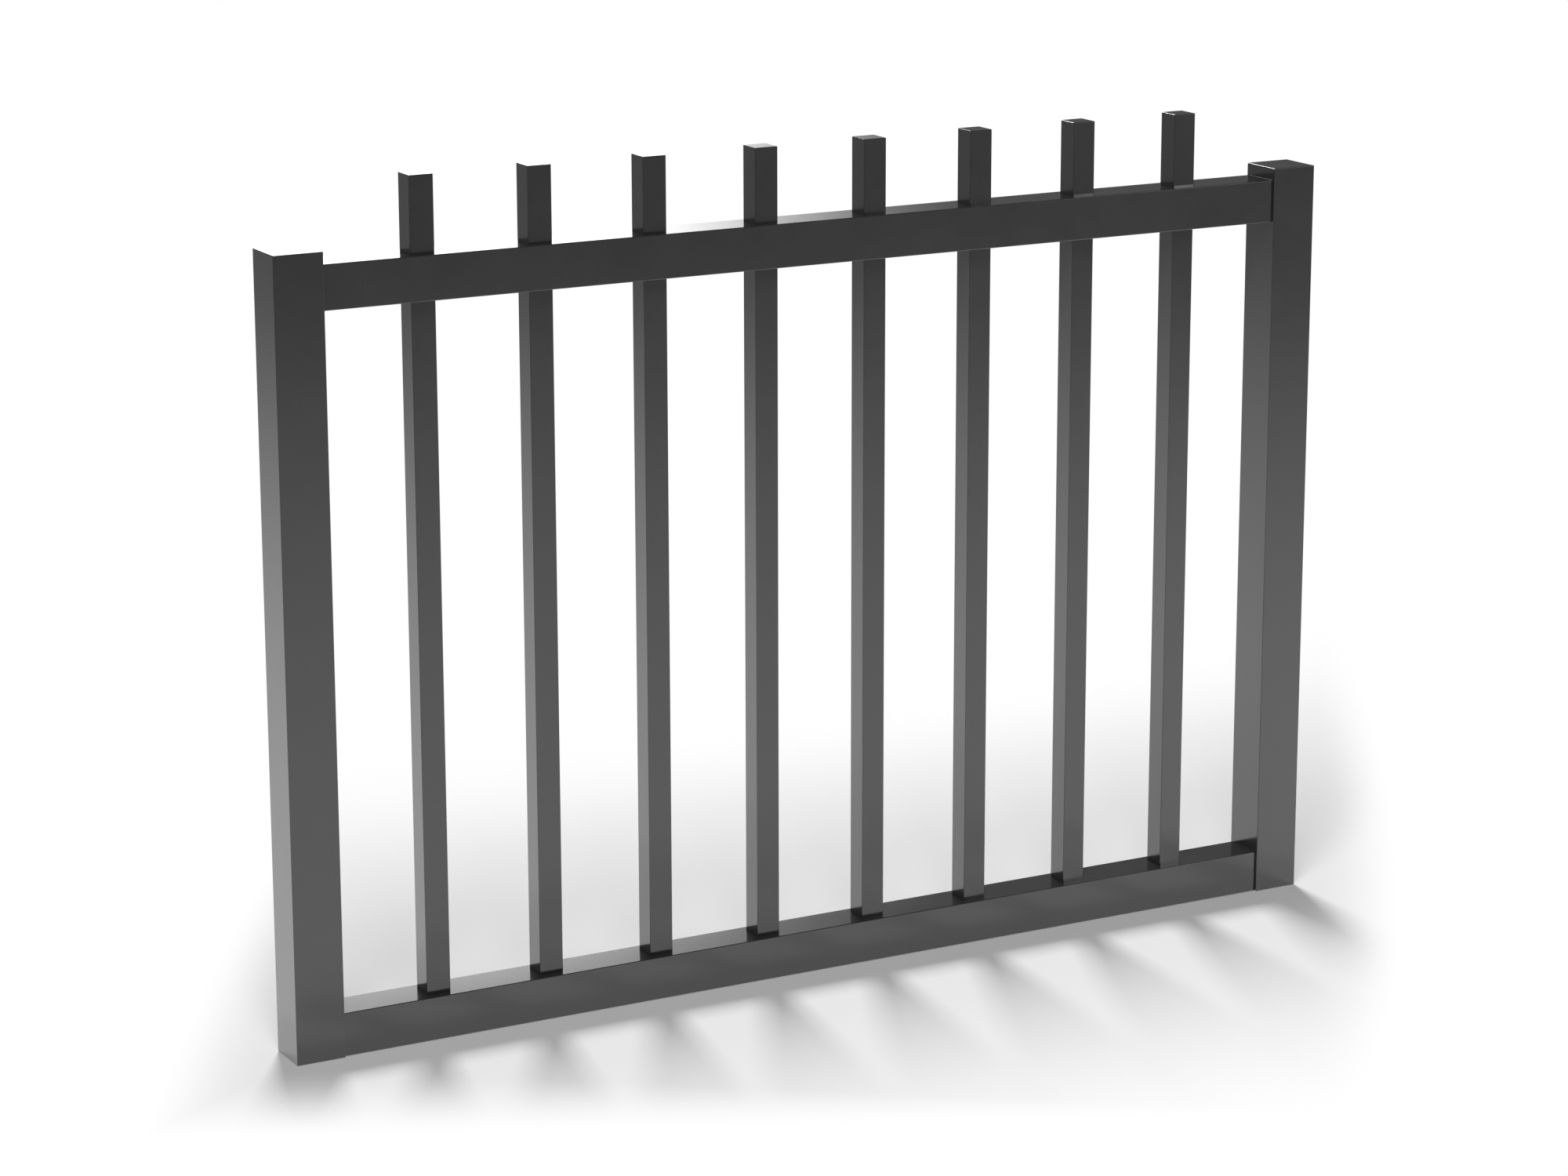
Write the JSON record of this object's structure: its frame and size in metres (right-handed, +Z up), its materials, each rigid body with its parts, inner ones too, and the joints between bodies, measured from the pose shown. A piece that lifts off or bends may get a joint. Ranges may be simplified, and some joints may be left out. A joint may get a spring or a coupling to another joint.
{
  "type": "steel walk gate leaf",
  "caption": "Flat steel walk gate leaf: square-tube stiles and punched rails carry square pickets that rise through the top rail, with flush flat caps, in satin black powder coat.",
  "frame": {"origin": "on the outer face of the left stile, where the hinges go, halfway up it and at half its depth", "axes": "+X from the hinge stile to the latch stile, +Y from the front to the back, +Z up"},
  "size_m": [1.1811, 0.0508, 0.8637],
  "materials": {
    "black_powder_coat": "satin black powder coat over steel tube"
  },
  "bodies": {
    "root": {"left_stile": "black_powder_coat", "left_stile_top_cap": "black_powder_coat", "left_stile_foot_cap": "black_powder_coat", "right_stile": "black_powder_coat", "right_stile_top_cap": "black_powder_coat", "right_stile_foot_cap": "black_powder_coat", "top_rail": "black_powder_coat", "bottom_rail": "black_powder_coat", "picket_1": "black_powder_coat", "picket_1_cap": "black_powder_coat", "picket_2": "black_powder_coat", "picket_2_cap": "black_powder_coat", "picket_3": "black_powder_coat", "picket_3_cap": "black_powder_coat", "picket_4": "black_powder_coat", "picket_4_cap": "black_powder_coat", "picket_5": "black_powder_coat", "picket_5_cap": "black_powder_coat", "picket_6": "black_powder_coat", "picket_6_cap": "black_powder_coat", "picket_7": "black_powder_coat", "picket_7_cap": "black_powder_coat", "picket_8": "black_powder_coat", "picket_8_cap": "black_powder_coat"}
  },
  "joints": []
}
